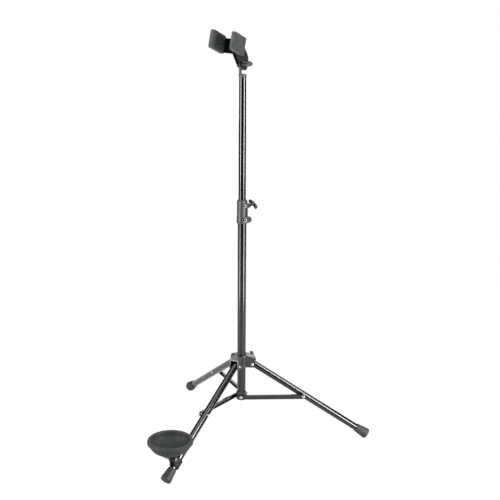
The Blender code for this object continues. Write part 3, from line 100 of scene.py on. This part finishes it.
# Powder coats: darkest and lightest colour, roughness, depth of the orange peel in metres, gloss
COATS = {
    "black_coat": ((0.0008, 0.0010, 0.0011), (0.0014, 0.0017, 0.0018), 0.13, 0.0000003, 0.5),
    "hub_coat": ((0.008, 0.0088, 0.0091), (0.011, 0.0122, 0.0126), 0.40, 0.000001, 0.5),
    "neck_coat": ((0.0014, 0.0017, 0.0018), (0.0022, 0.0026, 0.0027), 0.30, 0.0000006, 0.2),
}

# Plastics and rubbers: darkest and lightest colour, roughness, grain per metre, its depth in metres, gloss
MOULDED = {
    "clamp_plastic": ((0.010, 0.011, 0.0115), (0.015, 0.0165, 0.017), 0.44, 1400, 0.0000015, 0.5),
    "knob_plastic": ((0.008, 0.009, 0.0095), (0.013, 0.014, 0.0145), 0.34, 1400, 0.0000015, 0.5),
    # Painted shade: a darker, duller copy of the clamp plastic for the cup's clamp, which lies in the
    # cup's shadow
    "shaded_plastic": ((0.003, 0.0033, 0.0035), (0.0045, 0.005, 0.0052), 0.55, 1400, 0.0000015, 0.2),
    "boot_rubber": ((0.009, 0.0096, 0.0096), (0.014, 0.0146, 0.0146), 0.60, 1100, 0.000003, 0.4),
    "cup_rubber": ((0.010, 0.0115, 0.012), (0.014, 0.0155, 0.016), 0.66, 900, 0.000003, 0.3),
    "pad_rubber": ((0.014, 0.0155, 0.016), (0.020, 0.0225, 0.023), 0.48, 1000, 0.000003, 0.45),
}

# Bright plated metal: colour, roughness, depth of the turning marks in metres
METALS = {"bright_steel": ((0.47, 0.47, 0.465), 0.36, 0.00001)}

# Floor, in metres, its own grey, and how white the camera sees it and what is behind it
FLOOR_HALF = 14.0
FLOOR_GREY = 0.60
FLOOR_ROUGHNESS = 0.9
FLOOR_WHITE = 0.985
BACKDROP_WHITE = 0.986

# Strength of the room's light, which comes from all sides
ROOM = 0.04

# Soft boxes: name, degrees about the mast from the camera's side (positive to the right), distance from
# the mast, height, width and length, brightness, and the height on the mast that they face
LAMPS = [
    ("strip_left", -58, 1.35, 0.92, (0.38, 1.17), 25, 1.16),
    ("strip_left_low", -58, 1.08, 0.18, (0.31, 0.38), 16, 0.80),
    ("strip_right", 51, 1.35, 0.92, (0.27, 1.17), 50, 1.16),
    ("strip_right_low", 52, 1.08, 0.18, (0.24, 0.38), 30, 0.80),
    ("side_right", 100, 1.5, 1.75, (0.8, 0.7), 7, 0.2),
    ("over", -60, 0.15, 1.8, (1.3, 1.1), 4, 0.1),
    ("back", 180, 2.0, 1.35, (2.6, 2.0), 3.4, 0.7),
]


def new_object(name, data):
    """A new object in the scene."""
    item = bpy.data.objects.new(name, data)
    bpy.context.scene.collection.objects.link(item)
    return item


def shader_of(name):
    """A new node material, its tree and its Principled shader."""
    made = bpy.data.materials.new(name)
    made.use_nodes = True
    return made, made.node_tree, made.node_tree.nodes["Principled BSDF"]


def object_coordinates(tree):
    return tree.nodes.new("ShaderNodeTexCoord").outputs["Object"]


def noise(tree, vector, scale, detail, rough=0.5):
    node = tree.nodes.new("ShaderNodeTexNoise")
    node.inputs["Scale"].default_value = scale
    node.inputs["Detail"].default_value = detail
    node.inputs["Roughness"].default_value = rough
    tree.links.new(vector, node.inputs["Vector"])
    return node.outputs["Fac"]


def link_colour(tree, shader, value, dark, light):
    """Mixes two base colours by a noise value."""
    node = tree.nodes.new("ShaderNodeMix")
    node.data_type = "RGBA"
    node.inputs["A"].default_value = (*dark, 1)
    node.inputs["B"].default_value = (*light, 1)
    tree.links.new(value, node.inputs["Factor"])
    tree.links.new(node.outputs["Result"], shader.inputs["Base Color"])


def link_roughness(tree, shader, value, roughness, shares):
    """Spreads a noise value over a range about the roughness."""
    node = tree.nodes.new("ShaderNodeMapRange")
    node.inputs["From Min"].default_value = NOISE_LOW
    node.inputs["From Max"].default_value = NOISE_HIGH
    node.inputs["To Min"].default_value = roughness * shares[0]
    node.inputs["To Max"].default_value = roughness * shares[1]
    tree.links.new(value, node.inputs["Value"])
    tree.links.new(node.outputs["Result"], shader.inputs["Roughness"])


def link_bump(tree, shader, height, depth):
    node = tree.nodes.new("ShaderNodeBump")
    node.inputs["Distance"].default_value = depth
    tree.links.new(height, node.inputs["Height"])
    tree.links.new(node.outputs["Normal"], shader.inputs["Normal"])


def coat_material(name, dark, light, roughness, orange_peel, gloss):
    """Powder coat: very fine orange peel, faint mottling."""
    made, tree, shader = shader_of(name)
    where = object_coordinates(tree)
    shader.inputs["Specular IOR Level"].default_value = gloss
    link_colour(tree, shader, noise(tree, where, COAT_MOTTLE, detail=4), dark, light)
    link_roughness(tree, shader, noise(tree, where, COAT_SHEEN, detail=2), roughness, COAT_ROUGHNESS)
    link_bump(tree, shader, noise(tree, where, COAT_PEEL, detail=2), orange_peel)
    return made


def moulded_material(name, dark, light, roughness, grain, depth, gloss):
    """Moulded plastic or rubber: fine grain with slight wear in the roughness."""
    made, tree, shader = shader_of(name)
    where = object_coordinates(tree)
    shader.inputs["Specular IOR Level"].default_value = gloss
    link_colour(tree, shader, noise(tree, where, MOULDED_MOTTLE, detail=5, rough=0.6), dark, light)
    link_roughness(tree, shader, noise(tree, where, MOULDED_WEAR, detail=3), roughness, MOULDED_ROUGHNESS)
    link_bump(tree, shader, noise(tree, where, grain, detail=3, rough=0.65), depth)
    return made


def metal_material(name, colour, roughness, depth):
    """Bright plated steel with fine turning marks."""
    made, tree, shader = shader_of(name)
    where = object_coordinates(tree)
    dark = tuple(value * STEEL_DARKER for value in colour)
    shader.inputs["Metallic"].default_value = 1.0
    link_colour(tree, shader, noise(tree, where, STEEL_MOTTLE, detail=2), dark, colour)
    link_roughness(tree, shader, noise(tree, where, STEEL_SHEEN, detail=2), roughness, STEEL_ROUGHNESS)
    link_bump(tree, shader, noise(tree, where, STEEL_MARKS, detail=1), depth)
    return made


def make_materials():
    """Every material by its name."""
    kinds = ((coat_material, COATS), (moulded_material, MOULDED), (metal_material, METALS))
    return {name: make(name, *values) for make, table in kinds for name, values in table.items()}


def smooth_copy(node, item):
    """A copy of a CAD node with its facets welded and its curved faces shaded smooth."""
    shape = bmesh.new()
    shape.from_mesh(item.data)
    bmesh.ops.remove_doubles(shape, verts=shape.verts, dist=WELD)
    for face in shape.faces:
        face.smooth = True
        face.material_index = 0
    for edge in shape.edges:
        edge.smooth = edge.is_manifold and edge.calc_face_angle(0) < SHARP_ANGLE
    mesh = bpy.data.meshes.new(node + "_surface")
    shape.to_mesh(mesh)
    shape.free()
    if "custom_normal" in mesh.attributes:
        mesh.attributes.remove(mesh.attributes["custom_normal"])
    piece = new_object(node + "_surface", mesh)
    even = piece.modifiers.new("even_normals", "WEIGHTED_NORMAL")
    even.keep_sharp = True
    return piece


def dress_nodes(materials):
    """Gives every CAD node the material of its record slot, and shows it by its smooth copy."""
    slot_of = {row["node"]: row["material_slot"] for row in frame["record"]["subparts"]}
    for node, item in frame["nodes"].items():
        made = materials[FINISH_OF.get(node, slot_of[node])]
        item.data.materials.clear()
        item.data.materials.append(made)
        piece = smooth_copy(node, item)
        piece.data.materials.append(made)
        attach(piece, item["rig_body"])
        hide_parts(node)


def make_camera():
    data = bpy.data.cameras.new("photo_camera")
    data.sensor_width = SENSOR
    data.lens = SENSOR * FOCAL_PX / IMAGE_PX
    data.clip_end = CLIP_END
    item = new_object("photo_camera", data)
    spot = Matrix.Rotation(TURN, 4, "Z") @ Vector([value / MM_PER_METRE for value in CAMERA_MM])
    spot += Vector((*MAST, 0))
    item.matrix_world = (Matrix.Translation(spot) @ Matrix.Rotation(TURN, 4, "Z")
                         @ Matrix.Rotation(math.pi / 2 - PITCH, 4, "X") @ Matrix.Rotation(ROLL, 4, "Z"))
    bpy.context.scene.camera = item


def camera_ray(tree):
    return tree.nodes.new("ShaderNodeLightPath").outputs["Is Camera Ray"]


def link_surface(tree, factor, first, second, output):
    """Mixes two shaders by a factor on the way to the output."""
    blend = tree.nodes.new("ShaderNodeMixShader")
    tree.links.new(factor, blend.inputs["Fac"])
    tree.links.new(first, blend.inputs[1])
    tree.links.new(second, blend.inputs[2])
    tree.links.new(blend.outputs["Shader"], tree.nodes[output].inputs["Surface"])


def floor_material():
    """Pale floor that the camera sees as almost white, with a trace of the shadow."""
    made, tree, shader = shader_of("studio_floor")
    shader.inputs["Base Color"].default_value = (FLOOR_GREY, FLOOR_GREY, FLOOR_GREY, 1)
    shader.inputs["Roughness"].default_value = FLOOR_ROUGHNESS
    shader.inputs["Specular IOR Level"].default_value = 0.0
    glow = tree.nodes.new("ShaderNodeEmission")
    glow.inputs["Strength"].default_value = 1.0
    share = tree.nodes.new("ShaderNodeMath")
    share.operation = "MULTIPLY"
    share.inputs[1].default_value = FLOOR_WHITE
    tree.links.new(camera_ray(tree), share.inputs[0])
    link_surface(tree, share.outputs[0], shader.outputs["BSDF"], glow.outputs["Emission"],
                 "Material Output")
    return made


def make_floor():
    half = FLOOR_HALF
    mesh = bpy.data.meshes.new("floor")
    corners = [(-half, -half, 0), (half, -half, 0), (half, half, 0), (-half, half, 0)]
    mesh.from_pydata(corners, [], [(0, 1, 2, 3)])
    mesh.materials.append(floor_material())
    new_object("floor", mesh)


def make_world():
    """White behind the stand for the camera, and a dim room for everything else."""
    world = bpy.data.worlds.new("studio")
    world.use_nodes = True
    tree = world.node_tree
    room = tree.nodes["Background"]
    room.inputs["Color"].default_value = (1, 1, 1, 1)
    room.inputs["Strength"].default_value = ROOM
    seen = tree.nodes.new("ShaderNodeBackground")
    seen.inputs["Color"].default_value = (BACKDROP_WHITE, BACKDROP_WHITE, BACKDROP_WHITE, 1)
    seen.inputs["Strength"].default_value = 1.0
    link_surface(tree, camera_ray(tree), room.outputs["Background"], seen.outputs["Background"],
                 "World Output")
    bpy.context.scene.world = world


def add_lamp(name, degrees, distance, height, size, brightness, aim_height):
    """Soft box that faces the mast. The camera doesn't see it."""
    side = TURN - math.pi / 2 + math.radians(degrees)
    spot = Vector((MAST[0] + distance * math.cos(side), MAST[1] + distance * math.sin(side), height))
    data = bpy.data.lights.new(name, "AREA")
    data.shape = "RECTANGLE"
    data.size, data.size_y = size
    data.energy = brightness * math.pi * size[0] * size[1]
    lamp = new_object(name, data)
    lamp.visible_camera = False
    aim = Vector((*MAST, aim_height)) - spot
    lamp.matrix_world = Matrix.Translation(spot) @ aim.to_track_quat("-Z", "Y").to_matrix().to_4x4()


def main():
    bpy.context.scene.view_settings.view_transform = "Standard"
    dress_nodes(make_materials())
    make_camera()
    make_floor()
    make_world()
    for row in LAMPS:
        add_lamp(*row)


main()
